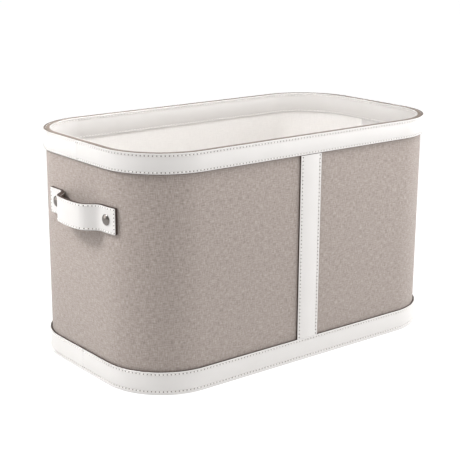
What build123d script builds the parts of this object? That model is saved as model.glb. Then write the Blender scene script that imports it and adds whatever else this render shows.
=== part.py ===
"""Fabric storage bin: a bent-board wall wrapped in linen, trimmed with stitched leather bands,
with a riveted leather strap handle at each short end.

Frame: +X along the long side, +Z up, origin at the centre of the underside. Millimetres.
"""

import os
from math import asin, cos, degrees, radians, sin, sqrt

from build123d import *

# ---- Overall size, measured over the leather bands and without the handles ----
length = 440.0
width = 247.0
height = 258.0
corner_radius = 73.0            # plan radius of the bands' outer face

# ---- Layers of the wall, from the outside in ----
band_thickness = 2.5            # leather on a backing, for the bands and the front and back straps
linen_thickness = 0.8
board_thickness = 3.0
lining_thickness = 0.8
inner_band_thickness = 1.2      # single leather, for the inner band and inner straps

# ---- Leather trim ----
rim_band_height = 22.0
base_band_height = 25.5
inner_band_height = 25.0
strap_width = 30.0
inner_strap_width = 30.0
seam_gap = 0.4                  # open line of a butt seam
hem_depth = 12.0                # linen turned down inside the rim

# ---- Bottom ----
base_board_thickness = 3.0
underside_thickness = 1.2       # felt under the whole wall and base
floor_board_thickness = 2.0
floor_cover_thickness = 0.6
floor_turn_under = 20.0         # width of the cover's glued margin under the floor board
floor_clearance = 1.0           # all round, so that the covered floor drops in

# ---- Handles ----
handle_height = 28.4
handle_drop = 74.2              # from the rim's top down to the strap's middle line
handle_offset = -5.8            # along Y from the middle of the short end
handle_leather = 1.3
handle_filler = 1.0
handle_clearance = 17.4         # finger room between the linen and the strap
handle_slope = 50.0             # steepest slope of the bulge, in degrees
handle_crown = 10.0             # slope where the gentle top of the bulge begins, in degrees
handle_foot_radius = 15.0       # inner face, where the strap turns away from the linen
handle_shoulder_radius = 12.0   # inner face, where the strap turns along the wall again
handle_corner_radius = 1.2

# ---- Rivets ----
rivet_spacing = 99.0            # between the two rivets of a handle, along Y
rivet_end_margin = 13.2         # from a rivet's axis to the strap's end, along Y
rivet_cap_radius = 6.0
rivet_seat_margin = 0.7         # flat leather between a cap's edge and the strap's bulge
rivet_cap_edge = 0.8            # height of the cap's straight rim
rivet_cap_crown = 1.7           # rise of the dome over that rim
rivet_post_radius = 2.0
rivet_hole_clearance = 0.1
rivet_back_radius = 5.0
rivet_back_thickness = 1.0
rivet_bore_depth = 0.6          # how far the post's tip enters the back cap

# ---- Insets of each layer's outer face from the bands' outer face ----
linen_inset = band_thickness
board_inset = linen_inset + linen_thickness
lining_inset = board_inset + board_thickness
inner_band_inset = lining_inset + lining_thickness
inside_inset = inner_band_inset + inner_band_thickness

# ---- Heights of the stacked layers ----
linen_bottom = underside_thickness
board_bottom = linen_bottom + linen_thickness
board_top = height - linen_thickness
hem_bottom = height - hem_depth
rim_band_bottom = height - rim_band_height
inner_band_bottom = height - inner_band_height
base_top = linen_bottom + base_board_thickness
floor_top = base_top + 2 * floor_cover_thickness + floor_board_thickness

# ---- The end wall's linen face, which carries the handles ----
linen_face = length / 2 - linen_inset
linen_radius = corner_radius - linen_inset
flat_half = width / 2 - corner_radius   # half of the flat between the two corners of an end
handle_thickness = 2 * handle_leather + handle_filler
handle_middle_height = height - handle_drop
handle_bottom = handle_middle_height - handle_height / 2
handle_bulge_half = rivet_spacing / 2 - rivet_cap_radius - rivet_seat_margin
lift_off_places = [handle_offset - handle_bulge_half, handle_offset + handle_bulge_half]
rivet_places = [handle_offset - rivet_spacing / 2, handle_offset + rivet_spacing / 2]


def rounded_plan(inset, z):
    """The bin's rounded plan at a height, drawn in from the bands' outer face."""
    with BuildSketch(Plane.XY.offset(z)) as plan:
        RectangleRounded(length - 2 * inset, width - 2 * inset, corner_radius - inset)
    return plan.sketch


def ring_plan(outer_inset, inner_inset, z):
    """The plan of a layer that runs round the bin between two insets."""
    with BuildSketch(Plane.XY.offset(z)) as plan:
        add(rounded_plan(outer_inset, 0))
        add(rounded_plan(inner_inset, 0), mode=Mode.SUBTRACT)
    return plan.sketch


def add_ring(outer_inset, inner_inset, bottom, top):
    """Add a layer of the wall, from one height to another, to the part being made."""
    extrude(ring_plan(outer_inset, inner_inset, bottom), amount=top - bottom)


def cut_end_seam(x, thickness):
    """Open a band's butt seam at the middle of a short end, where its layer lies at x."""
    with Locations((x, 0, height / 2)):
        Box(4 * thickness, seam_gap, 2 * height, mode=Mode.SUBTRACT)


def wall_direction(y):
    """The angle, in degrees from +X, at which an end wall faces out at a place along Y."""
    past_flat = max(abs(y) - flat_half, 0)
    angle = degrees(asin(past_flat / linen_radius))
    return angle if y > 0 else -angle


def rivet_plane(side, y, distance):
    """A plane across a rivet's axis, at a distance out from the linen; its Z points outwards."""
    angle = radians(wall_direction(y))
    centre_x = linen_face - linen_radius
    centre_y = max(min(y, flat_half), -flat_half)
    x = centre_x + (linen_radius + distance) * cos(angle)
    if abs(y) > flat_half:
        y = centre_y + (linen_radius + distance) * sin(angle)
    return Plane(
        origin=(side * x, y, handle_middle_height),
        x_dir=(-side * sin(angle), cos(angle), 0),
        z_dir=(side * cos(angle), sin(angle), 0),
    )


def drill_rivet_holes(sides):
    """Punch the rivets' holes through a layer at the given ends."""
    reach = board_thickness + linen_thickness + lining_thickness + handle_thickness
    for side in sides:
        for y in rivet_places:
            with BuildSketch(rivet_plane(side, y, -reach)) as hole:
                Circle(rivet_post_radius + rivet_hole_clearance)
            extrude(hole.sketch, amount=2 * reach, mode=Mode.SUBTRACT)


# ---- Wall: a board bent round and closed into a ring ----
with BuildPart() as wall_core:
    add_ring(board_inset, lining_inset, board_bottom, board_top)
    drill_rivet_holes([-1, 1])
wall_core.part.label = "wall_core"

# ---- Base board, glued inside the foot of the wall ----
with BuildPart() as base_board:
    extrude(rounded_plan(lining_inset, linen_bottom), amount=base_board_thickness)
base_board.part.label = "base_board"

# ---- Felt under the base board and the linen's turned edge ----
with BuildPart() as base_underside:
    extrude(rounded_plan(linen_inset, 0), amount=underside_thickness)
base_underside.part.label = "base_underside"


def make_linen_panel(side):
    """Half of the linen cover: it wraps one end, is turned in over the rim as a hem and under
    the board's foot, and meets the other half under the front and back straps."""
    with BuildPart() as panel:
        add_ring(linen_inset, board_inset, linen_bottom, height)
        add_ring(board_inset, inner_band_inset, board_top, height)
        add_ring(lining_inset, inner_band_inset, hem_bottom, board_top)
        add_ring(board_inset, lining_inset, linen_bottom, board_bottom)
        keep = Plane.YZ.offset(side * seam_gap / 2)
        split(bisect_by=keep, keep=Keep.TOP if side > 0 else Keep.BOTTOM)
        drill_rivet_holes([side])
    return panel


def make_lining_panel(side):
    """Half of the lining: it covers one long wall and half of each end, down to the base board,
    and meets the other half under the inner straps."""
    with BuildPart() as panel:
        add_ring(lining_inset, inner_band_inset, base_top, hem_bottom)
        keep = Plane.XZ.offset(-side * seam_gap / 2)
        split(bisect_by=keep, keep=Keep.BOTTOM if side > 0 else Keep.TOP)
        drill_rivet_holes([-1, 1])
    return panel


linen_left = make_linen_panel(-1)
linen_left.part.label = "linen_left"

linen_right = make_linen_panel(1)
linen_right.part.label = "linen_right"

lining_front = make_lining_panel(-1)
lining_front.part.label = "lining_front"

lining_back = make_lining_panel(1)
lining_back.part.label = "lining_back"

# ---- Leather bands, each a strip closed by a butt seam at the middle of a short end ----
with BuildPart() as rim_band_outer:
    add_ring(0, linen_inset, rim_band_bottom, height)
    cut_end_seam(-length / 2, band_thickness)
rim_band_outer.part.label = "rim_band_outer"

with BuildPart() as rim_band_inner:
    add_ring(inner_band_inset, inside_inset, inner_band_bottom, height)
    cut_end_seam(length / 2 - inner_band_inset, inner_band_thickness)
rim_band_inner.part.label = "rim_band_inner"

with BuildPart() as base_band:
    add_ring(0, linen_inset, 0, base_band_height)
    cut_end_seam(-length / 2, band_thickness)
base_band.part.label = "base_band"


def make_strap(side):
    """The leather strap that covers the linen's seam on a long wall, between the two bands."""
    with BuildPart() as strap:
        middle = side * (width / 2 - band_thickness / 2)
        with BuildSketch(Plane.XY.offset(base_band_height)) as plan:
            with Locations((0, middle)):
                Rectangle(strap_width, band_thickness)
        extrude(plan.sketch, amount=rim_band_bottom - base_band_height)
    return strap


def make_inner_strap(side):
    """The leather strap that covers the lining's seam inside a short end, from the inner band
    down to the base board."""
    with BuildPart() as strap:
        middle = side * (length / 2 - inner_band_inset - inner_band_thickness / 2)
        with BuildSketch(Plane.XY.offset(base_top)) as plan:
            with Locations((middle, 0)):
                Rectangle(inner_band_thickness, inner_strap_width)
        extrude(plan.sketch, amount=inner_band_bottom - base_top)
    return strap


strap_front = make_strap(-1)
strap_front.part.label = "strap_front"

strap_back = make_strap(1)
strap_back.part.label = "strap_back"

inner_strap_left = make_inner_strap(-1)
inner_strap_left.part.label = "inner_strap_left"

inner_strap_right = make_inner_strap(1)
inner_strap_right.part.label = "inner_strap_right"

# ---- Floor: a board wrapped in lining cloth, dropped in and glued on the base board ----
floor_inset = inside_inset + floor_clearance
floor_board_bottom = base_top + floor_cover_thickness

with BuildPart() as floor_board:
    extrude(
        rounded_plan(floor_inset + floor_cover_thickness, floor_board_bottom),
        amount=floor_board_thickness,
    )
floor_board.part.label = "floor_board"

with BuildPart() as floor_cover:
    extrude(rounded_plan(floor_inset, base_top), amount=floor_top - base_top)
    extrude(
        rounded_plan(floor_inset + floor_cover_thickness, floor_board_bottom),
        amount=floor_board_thickness,
        mode=Mode.SUBTRACT,
    )
    extrude(
        rounded_plan(floor_inset + floor_turn_under, base_top),
        amount=floor_cover_thickness,
        mode=Mode.SUBTRACT,
    )
floor_cover.part.label = "floor_cover"


# ---- Handles: leather face and backing over a filler, riveted flat at both ends ----
def wall_steps(end, lift_off, distance):
    """Steps along the wall's curve from a strap's end to where the strap lifts off it."""
    turn = abs(wall_direction(end)) - abs(wall_direction(lift_off))
    flat = min(abs(end), flat_half) - min(abs(lift_off), flat_half)
    return [("turn", linen_radius + distance, turn), ("straight", flat, 0)]


def bulge_steps(lift_off, distance):
    """Steps of half the bulge, from where it lifts off the wall to its middle.

    The strap turns away from the wall, ramps out, turns back and crowns gently. The wall may
    already lean out there, on a corner, by the lean angle. The ramp's length and the crown's
    radius are what bring the half bulge to its middle at the stated clearance.
    """
    lean = radians(abs(wall_direction(lift_off)))
    slope = radians(handle_slope)
    crown = radians(handle_crown)
    corner_drop = linen_radius * (1 - cos(lean))
    foot_rise = handle_foot_radius * (cos(lean) - cos(slope))
    foot_run = handle_foot_radius * (sin(slope) - sin(lean))
    shoulder_rise = handle_shoulder_radius * (cos(crown) - cos(slope))
    shoulder_run = handle_shoulder_radius * (sin(slope) - sin(crown))
    free_rise = handle_clearance + corner_drop - foot_rise - shoulder_rise
    free_run = handle_bulge_half - foot_run - shoulder_run
    # The crown rises by its run times the tangent of half its slope.
    crown_rate = (1 - cos(crown)) / sin(crown)
    ramp = (free_rise - crown_rate * free_run) / (sin(slope) - crown_rate * cos(slope))
    crown_radius = (free_run - ramp * cos(slope)) / sin(crown)
    return [
        ("turn", handle_foot_radius - distance, degrees(lean) - handle_slope),
        ("straight", ramp, 0),
        ("turn", handle_shoulder_radius + distance, handle_slope - handle_crown),
        ("turn", crown_radius + distance, handle_crown),
    ]


def handle_line(distance):
    """The handle's line in plan for the +X end, at a distance out from its inner face."""
    front_end = rivet_places[0] - rivet_end_margin
    back_end = rivet_places[1] + rivet_end_margin
    front = wall_steps(front_end, lift_off_places[0], distance)
    front += bulge_steps(lift_off_places[0], distance)
    back = wall_steps(back_end, lift_off_places[1], distance)
    back += bulge_steps(lift_off_places[1], distance)

    angle = radians(wall_direction(front_end))
    radius = linen_radius + distance
    past_flat = min(front_end + flat_half, 0)
    point = Vector(linen_face - linen_radius + radius * cos(angle), front_end - past_flat)
    point += Vector(0, radius * sin(angle))
    heading = Vector(-sin(angle), cos(angle))
    pieces = []
    for kind, size, turn in front + back[::-1]:
        if kind == "straight" and size > 0:
            pieces.append(Line(point, point + heading * size))
        elif kind == "turn" and turn != 0:
            pieces.append(JernArc(point, heading, size, turn))
        else:
            continue
        point = pieces[-1] @ 1
        heading = pieces[-1] % 1
    return pieces


def make_handle_layer(side, inner, outer):
    """One layer of a handle, between two distances out from the handle's inner face."""
    with BuildPart() as layer:
        with BuildSketch(Plane.XY.offset(handle_bottom)) as plan:
            with BuildLine():
                inner_line = handle_line(inner)
                outer_line = handle_line(outer)
                Line(inner_line[0] @ 0, outer_line[0] @ 0)
                Line(inner_line[-1] @ 1, outer_line[-1] @ 1)
            make_face()
        extrude(plan.sketch, amount=handle_height)
        upright = layer.edges().filter_by(lambda edge: is_strap_corner(edge, inner, outer))
        fillet(upright, radius=handle_corner_radius)
        if side < 0:
            mirror(about=Plane.YZ, mode=Mode.REPLACE)
        drill_rivet_holes([side])
    return layer


def is_strap_corner(edge, inner, outer):
    """True for the four short edges that run through a layer at the strap's square ends."""
    level = abs(edge.tangent_at(0.5).Z) < 0.5
    return level and abs(edge.length - (outer - inner)) < 0.01


def make_rivet_cap(side, y):
    """The domed cap with its post, which passes through the handle and the wall."""
    through_wall = linen_thickness + board_thickness + lining_thickness
    dome_radius = (rivet_cap_radius**2 + rivet_cap_crown**2) / (2 * rivet_cap_crown)
    seat = rivet_plane(side, y, handle_thickness)
    with BuildPart() as cap:
        with BuildSketch(seat) as rim:
            Circle(rivet_cap_radius)
        extrude(rim.sketch, amount=rivet_cap_edge)
        # Half of the dome's section, on a plane through the rivet's axis whose Y points outwards.
        with BuildSketch(Plane(seat.offset(rivet_cap_edge).origin, seat.x_dir, -seat.y_dir)) as dome:
            with BuildLine():
                top = (0, rivet_cap_crown)
                edge = (rivet_cap_radius, 0)
                RadiusArc(top, edge, dome_radius)
                Line(edge, (0, 0))
                Line((0, 0), top)
            make_face()
        revolve(dome.sketch, axis=Axis(seat.origin, seat.z_dir))
        with BuildSketch(seat) as post:
            Circle(rivet_post_radius)
        extrude(post.sketch, amount=-(handle_thickness + through_wall + rivet_bore_depth))
    return cap


def make_rivet_back(side, y):
    """The flat cap inside the bin, pressed onto the post's tip.

    Where it sits on a corner, its flat face bridges the hollow of the curved lining.
    """
    through_wall = linen_thickness + board_thickness + lining_thickness
    lining_radius = corner_radius - inner_band_inset
    on_curve = min(max(abs(y) + rivet_back_radius - flat_half, 0), rivet_back_radius)
    hollow = lining_radius - sqrt(lining_radius**2 - on_curve**2)
    seat = rivet_plane(side, y, -through_wall - hollow)
    with BuildPart() as back:
        with BuildSketch(seat) as disc:
            Circle(rivet_back_radius)
        extrude(disc.sketch, amount=-rivet_back_thickness)
        with BuildSketch(seat) as bore:
            Circle(rivet_post_radius)
        extrude(bore.sketch, amount=-(rivet_bore_depth - hollow), mode=Mode.SUBTRACT)
    return back


handle_layers = [
    ("backing", 0, handle_leather),
    ("filler", handle_leather, handle_leather + handle_filler),
    ("face", handle_leather + handle_filler, handle_thickness),
]
handle_pieces = []
for side_name, side in (("left", -1), ("right", 1)):
    for layer_name, inner, outer in handle_layers:
        layer = make_handle_layer(side, inner, outer)
        layer.part.label = f"handle_{side_name}_{layer_name}"
        handle_pieces.append(layer)
    for place_name, y in zip(("front", "back"), rivet_places):
        cap = make_rivet_cap(side, y)
        cap.part.label = f"rivet_{side_name}_{place_name}_cap"
        handle_pieces.append(cap)
        back = make_rivet_back(side, y)
        back.part.label = f"rivet_{side_name}_{place_name}_back"
        handle_pieces.append(back)

# ---- Write one STEP file for each piece ----
os.makedirs("parts", exist_ok=True)
pieces = [
    wall_core,
    base_board,
    base_underside,
    linen_left,
    linen_right,
    lining_front,
    lining_back,
    rim_band_outer,
    rim_band_inner,
    base_band,
    strap_front,
    strap_back,
    inner_strap_left,
    inner_strap_right,
    floor_board,
    floor_cover,
    *handle_pieces,
]
for piece in pieces:
    export_step(piece.part, f"parts/{piece.part.label}.step")
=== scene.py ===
# %% [markdown]
# # A linen storage bin with leather trim
# The bin is a board wall bent into a rounded rectangle and wrapped in taupe linen. White leather
# bands close its rim and its foot, a leather strap covers the cloth's seam front and back, and
# each short end carries a riveted leather handle. Inside, an off-white lining runs down to a
# covered floor. The CAD model fixes every size and place. This lesson gives each layer its real
# surface: sewn edges, needle holes, thread, weave, painted edges and polished rivets.

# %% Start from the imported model
from math import asin, cos, pi, radians, sin, tan

import bpy
from mathutils import Matrix, Vector


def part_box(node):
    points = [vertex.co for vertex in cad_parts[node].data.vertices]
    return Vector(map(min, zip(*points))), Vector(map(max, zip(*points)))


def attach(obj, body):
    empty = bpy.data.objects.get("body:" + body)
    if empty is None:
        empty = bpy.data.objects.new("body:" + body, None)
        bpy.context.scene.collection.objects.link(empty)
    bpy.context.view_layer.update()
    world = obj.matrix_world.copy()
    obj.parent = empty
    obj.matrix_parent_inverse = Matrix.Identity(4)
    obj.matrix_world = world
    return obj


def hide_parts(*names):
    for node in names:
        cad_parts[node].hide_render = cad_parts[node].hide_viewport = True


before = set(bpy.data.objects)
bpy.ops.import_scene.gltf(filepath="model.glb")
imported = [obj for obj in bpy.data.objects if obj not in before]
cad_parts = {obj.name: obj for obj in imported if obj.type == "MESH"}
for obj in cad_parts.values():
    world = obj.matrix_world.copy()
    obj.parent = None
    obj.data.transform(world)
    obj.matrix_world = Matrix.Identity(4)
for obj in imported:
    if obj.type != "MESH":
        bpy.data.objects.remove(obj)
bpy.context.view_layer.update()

MM = 0.001

# %% [markdown]
# ## Sizes
# Heights and reaches come from the CAD nodes' own boxes. Only what a box can't tell is written
# down here: the corner's radius, the layers' thicknesses and the sewing.

# %% Sizes taken from the model, in metres
band_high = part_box("rim_band_outer")[1]
inner_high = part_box("rim_band_inner")[1]
linen_low, linen_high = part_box("linen_right")

half_length = band_high[0]
half_width = band_high[1]
rim_top = band_high[2]
corner_radius = 73 * MM
band_thickness = 2.5 * MM
inner_band_thickness = 1.2 * MM
cloth_thickness = 0.8 * MM
seam_gap = 0.1 * MM
linen_inset = half_length - linen_high[0]
inner_band_inset = half_length - inner_high[0]
inside_inset = inner_band_inset + inner_band_thickness
print("linen lies", round(linen_inset / MM, 2), "mm inside the bands' outer face")
print("the inner band's face lies", round(inside_inset / MM, 2), "mm inside it")

# %% [markdown]
# ## Camera first
# The camera stands at a low three-quarter angle, in front of the left end, with a fairly long
# lens. It is aimed by its own axes, because a view that is turned a little about its line of
# sight can't be made by pointing alone.

# %% Camera
camera_place = (-0.8328, -1.0302, 0.4895)
lens_length = 90.45
sensor_width = 36
azimuth = radians(-38.46)
elevation = radians(15.43)
roll = radians(0.33)
back = Vector((sin(azimuth) * cos(elevation), -cos(azimuth) * cos(elevation), sin(elevation)))
level_right = (-back).cross(Vector((0, 0, 1))).normalized()
level_up = level_right.cross(-back)
camera_right = cos(roll) * level_right + sin(roll) * level_up
camera_up = cos(roll) * level_up - sin(roll) * level_right

bpy.ops.object.camera_add(location=camera_place)
camera = bpy.context.object
camera.rotation_euler = Matrix((camera_right, camera_up, back)).transposed().to_euler()
camera.data.sensor_width = sensor_width
camera.data.lens = lens_length
bpy.context.scene.camera = camera
print("camera stands", round(camera.location.length, 3), "m from the bin's foot")

# %% [markdown]
# ## Working habits
# An operator acts on everything that is selected, so each step first deselects all. Helpers keep
# that tidy: one picks the pieces to work on, two go into edit mode and out of it, and one adds a
# modifier and applies it.

# %% Pick, edit, and apply a modifier
def pick(*pieces):
    """Leaves edit mode, deselects everything, then selects these and makes the last active."""
    if bpy.context.object and bpy.context.object.mode == "EDIT":
        bpy.ops.object.mode_set(mode="OBJECT")
    bpy.ops.object.select_all(action="DESELECT")
    for piece in pieces:
        piece.select_set(True)
    if pieces:
        bpy.context.view_layer.objects.active = pieces[-1]


def edit_all():
    """Goes into edit mode with the whole mesh selected."""
    bpy.ops.object.mode_set(mode="EDIT")
    bpy.ops.mesh.select_all(action="SELECT")


def leave_edit():
    """Goes back to object mode."""
    bpy.ops.object.mode_set(mode="OBJECT")


def shape_with(piece, kind, **settings):
    """Adds a modifier to a piece and applies it."""
    pick(piece)
    modifier = piece.modifiers.new(kind.lower(), kind)
    for name, value in settings.items():
        setattr(modifier, name, value)
    bpy.ops.object.modifier_apply(modifier=modifier.name)


# %% [markdown]
# Faces and edges are picked by their place. In edit mode the mesh must be told what is picked in
# object mode first, so one helper does the round trip.

# %% Pick parts of a mesh by place
def pick_parts(piece, parts, wanted):
    """Selects the edges or polygons for which wanted(middle, part) is true, and counts them."""
    pick(piece)
    bpy.ops.object.mode_set(mode="EDIT")
    bpy.ops.mesh.select_mode(type="EDGE" if parts == "edges" else "FACE")
    bpy.ops.mesh.select_all(action="DESELECT")
    leave_edit()
    mesh = piece.data
    count = 0
    for part in getattr(mesh, parts):
        if parts == "edges":
            middle = (mesh.vertices[part.vertices[0]].co + mesh.vertices[part.vertices[1]].co) / 2
        else:
            middle = part.center
        if wanted(middle, part):
            part.select = True
            count += 1
    bpy.ops.object.mode_set(mode="EDIT")
    return count


# %% [markdown]
# ## Colours and nodes
# Colours are written as sRGB hex codes, as on a swatch card, and one function turns them to the
# linear values that shaders want. One more adds a node with its settings and its links.

# %% Colour and node helpers
def colour(hex_code):
    """An sRGB hex code as linear red, green, blue and alpha."""
    values = [int(hex_code[i : i + 2], 16) / 255 for i in (1, 3, 5)]
    linear = [v / 12.92 if v <= 0.04045 else ((v + 0.055) / 1.055) ** 2.4 for v in values]
    return (*linear, 1)


def new_material(name, **shader):
    """A material whose all-over values are set on the Principled shader's own sockets."""
    material = bpy.data.materials.new(name)
    material.use_nodes = True
    principled = material.node_tree.nodes["Principled BSDF"]
    for socket, value in shader.items():
        principled.inputs[socket.replace("_", " ")].default_value = value
    return material


def add_node(material, kind, inputs, **settings):
    """Adds a node, gives it its settings, and sets or links each of its inputs."""
    tree = material.node_tree
    if kind == "Principled":
        made = tree.nodes["Principled BSDF"]
    else:
        made = tree.nodes.new("ShaderNode" + kind)
    for name, value in settings.items():
        setattr(made, name, value)
    for socket, value in inputs.items():
        if isinstance(value, bpy.types.NodeSocket):
            tree.links.new(value, made.inputs[socket])
        else:
            made.inputs[socket].default_value = value
    return made


def surface(tone, roughness, bump):
    """What a tone, a roughness and a bump give to the Principled shader."""
    return {
        "Base Color": tone.outputs[2],
        "Roughness": roughness.outputs["Result"],
        "Normal": bump.outputs["Normal"],
    }


# %% [markdown]
# ## Leather
# The trim is smooth corrected-grain cowhide with a white pigment coat. The coat gives the eye a
# soft, broad sheen, the grain under it a pebble of about 0.9 mm, and handling leaves the sheen a
# little uneven. Pebble and unevenness are solid patterns in the object's own space, so they run
# on round corners without a seam.

# %% Coated leather
def coated_leather(name, dark, light, smooth, rough):
    """Pigment-coated cowhide: drifting tone and sheen over a pebble grain and faint creases."""
    hide = new_material(name, IOR=1.5, Coat_Weight=0.12, Coat_Roughness=0.25)
    place = add_node(hide, "TexCoord", {}).outputs["Object"]
    patches = add_node(hide, "TexNoise", {"Vector": place, "Scale": 1 / (28 * MM), "Detail": 3.0})
    tone = add_node(
        hide, "Mix", {0: patches.outputs["Fac"], 6: colour(dark), 7: colour(light)}, data_type="RGBA"
    )
    handled = add_node(hide, "TexNoise", {"Vector": place, "Scale": 1 / (9 * MM), "Detail": 4.0})
    sheen = add_node(
        hide, "MapRange", {"Value": handled.outputs["Fac"], "To Min": smooth, "To Max": rough}
    )
    pebble = add_node(hide, "TexVoronoi", {"Vector": place, "Scale": 1 / (0.9 * MM)})
    grain = add_node(
        hide, "Bump", {"Height": pebble.outputs["Distance"], "Strength": 0.22, "Distance": 0.06 * MM}
    )
    creases = add_node(hide, "TexNoise", {"Vector": place, "Scale": 1 / (5 * MM), "Detail": 5.0})
    bumps = {"Height": creases.outputs["Fac"], "Normal": grain.outputs["Normal"]}
    bump = add_node(hide, "Bump", {**bumps, "Strength": 0.25, "Distance": 0.25 * MM})
    add_node(hide, "Principled", surface(tone, sheen, bump))
    return hide


leather = coated_leather("white_coated_leather", "#CFCCC9", "#D6D3D1", 0.40, 0.56)
brown_leather = coated_leather("brown_backing_leather", "#5E4D43", "#6E5C51", 0.50, 0.66)
print("made", leather.name, brown_leather.name)

# %% [markdown]
# The cut edges are sealed with brown edge paint, brushed on in two coats: a satin skin with
# slight brush ripples. The rim band's upper edge has a thinner taupe coat, and the linen fold
# beside it a paler one. The pits of the outer leather get a dark, rough finish of their own:
# partly the leather's greyer core, partly painted shade inside the needle holes. Paint, metal,
# felt and board each follow one noise, so one function makes them all.

# %% Edge paint and the leather's core
def follow(made, pattern, dark, light, roughness, relief):
    """Lets one pattern lead a finish's tone, roughness (low, high) and relief (strength,
    depth)."""
    tone = add_node(made, "Mix", {0: pattern, 6: colour(dark), 7: colour(light)}, data_type="RGBA")
    sheen = add_node(
        made, "MapRange", {"Value": pattern, "To Min": roughness[0], "To Max": roughness[1]}
    )
    bump = add_node(
        made, "Bump", {"Height": pattern, "Strength": relief[0], "Distance": relief[1]}
    )
    add_node(made, "Principled", surface(tone, sheen, bump))


def mottled(name, dark, light, spot, detail, roughness, relief, distortion=0.0, **shader):
    """A finish that follows a noise with spots of one size."""
    made = new_material(name, **shader)
    place = add_node(made, "TexCoord", {}).outputs["Object"]
    settings = {"Vector": place, "Scale": 1 / spot, "Detail": detail, "Distortion": distortion}
    noise = add_node(made, "TexNoise", settings)
    follow(made, noise.outputs["Fac"], dark, light, roughness, relief)
    return made


def edge_paint(name, dark, light, roughness):
    """A brushed edge paint: colour and sheen drift along the edge, with fine ripples."""
    sheen = (roughness - 0.1, roughness + 0.1)
    ripples = (0.3, 0.15 * MM)
    return mottled(name, dark, light, 2.2 * MM, 4.0, sheen, ripples, IOR=1.48, Roughness=roughness)


brown_paint = edge_paint("brown_edge_paint", "#3A2E29", "#4C3E37", 0.5)
taupe_paint = edge_paint("taupe_edge_paint", "#5F554E", "#6E635B", 0.6)
fold_paint = edge_paint("taupe_fold_paint", "#74685F", "#83776D", 0.65)
# Needle pits: the leather's greyer core, darkened further as painted shade inside the holes.
core_and_pit_shade = edge_paint("needle_pit_core_and_shade", "#665E58", "#766D67", 0.8)
print("made", brown_paint.name, taupe_paint.name, fold_paint.name, core_and_pit_shade.name)

# %% [markdown]
# The sewing thread is white bonded polyester of about 0.7 mm, three strands twisted. The twist
# shows as a fine slanted ripple, drawn here with a wave across the thread.

# %% Thread
thread = new_material("bonded_polyester_thread", IOR=1.53, Sheen_Weight=0.15)
place = add_node(thread, "TexCoord", {}).outputs["Object"]
waves = {"Vector": place, "Scale": 1 / (6 * MM), "Distortion": 1.5}
strands = add_node(thread, "TexWave", waves, bands_direction="DIAGONAL")
follow(thread, strands.outputs["Fac"], "#DEDAD6", "#EAE7E4", (0.42, 0.6), (0.5, 0.1 * MM))
print("made", thread.name)

# %% [markdown]
# ## Woven cloth
# Linen is a plain weave of uneven yarn: every warp and weft thread has its own tone and thickens
# into slubs here and there. Two stretched noises give the threads their tones, one along each
# direction, and two sine waves raise them. The patterns read a flat map of the cloth, in metres,
# so the weave follows the wall round each corner. Real threads lie about 0.5 mm apart. They are
# drawn 0.8 mm apart, because finer ones wouldn't show.

# %% A plain weave, for linen and lining
def weave(name, dark, light, spacing, slub, relief, roughness):
    """A plain-woven cloth whose thread tones run between two colours."""
    cloth = new_material(name, IOR=1.46, Sheen_Weight=0.12, Sheen_Roughness=0.5)
    flat = add_node(cloth, "UVMap", {}, uv_map="flat").outputs["UV"]
    across = add_node(cloth, "SeparateXYZ", {"Vector": flat})
    threads = []
    ridges = []
    for along in (0, 1):
        # Thread tones: noise squeezed to one thread across and stretched to a slub's length.
        squeeze = [1 / slub, 1 / slub, 1]
        squeeze[1 - along] = 1 / (1.15 * spacing)
        mapping = add_node(cloth, "Mapping", {"Vector": flat, "Scale": squeeze})
        yarn = add_node(
            cloth, "TexNoise", {"Vector": mapping.outputs["Vector"], "Scale": 1.0, "Detail": 2.5}
        )
        threads.append(yarn.outputs["Fac"])
        phase = add_node(
            cloth, "Math", {0: across.outputs[1 - along], 1: 2 * pi / spacing}, operation="MULTIPLY"
        )
        ridge = add_node(cloth, "Math", {0: phase.outputs[0]}, operation="SINE")
        ridges.append(ridge.outputs[0])
    fleck = add_node(cloth, "TexNoise", {"Vector": flat, "Scale": 1 / (1.0 * MM), "Detail": 3.0})
    crossing = add_node(cloth, "Math", {0: threads[0], 1: threads[1]}, operation="ADD")
    flecks = {0: fleck.outputs["Fac"], 1: 0.45, 2: crossing.outputs[0]}
    yarns = add_node(cloth, "Math", flecks, operation="MULTIPLY_ADD").outputs[0]
    crossed = add_node(cloth, "Math", {0: ridges[0], 1: ridges[1]}, operation="ADD")
    spread = add_node(cloth, "MapRange", {"Value": yarns, "From Min": 0.92, "From Max": 1.53})
    tone = add_node(
        cloth, "Mix", {0: spread.outputs[0], 6: colour(dark), 7: colour(light)}, data_type="RGBA"
    )
    raised = {0: yarns, 1: 1.6, 2: crossed.outputs[0]}
    height = add_node(cloth, "Math", raised, operation="MULTIPLY_ADD")
    rough = add_node(
        cloth, "MapRange", {"Value": yarns, "From Max": 2.8, "To Min": roughness, "To Max": 0.95}
    )
    bump = add_node(
        cloth, "Bump", {"Height": height.outputs[0], "Strength": relief, "Distance": 0.10 * MM}
    )
    add_node(cloth, "Principled", surface(tone, rough, bump))
    return cloth


linen = weave("taupe_linen_weave", "#887C75", "#B2A7A0", 0.8 * MM, 6 * MM, 0.6, 0.7)
lining = weave("off_white_cotton_lining", "#E5E2DF", "#EDEAE7", 0.6 * MM, 9 * MM, 0.3, 0.65)
print("made", linen.name, lining.name)

# %% [markdown]
# ## The bin's plan as a guide line
# Bands and cloth are made flat, as a maker cuts them, and are then wrapped round the bin. The
# guide is a Bezier line of straight runs and true arcs, and a Curve modifier bends the flat
# piece along it. A flat piece lies along X with its shown face towards -Y. Going round
# anticlockwise, that face ends up outside; going round clockwise, it ends up inside.

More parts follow.
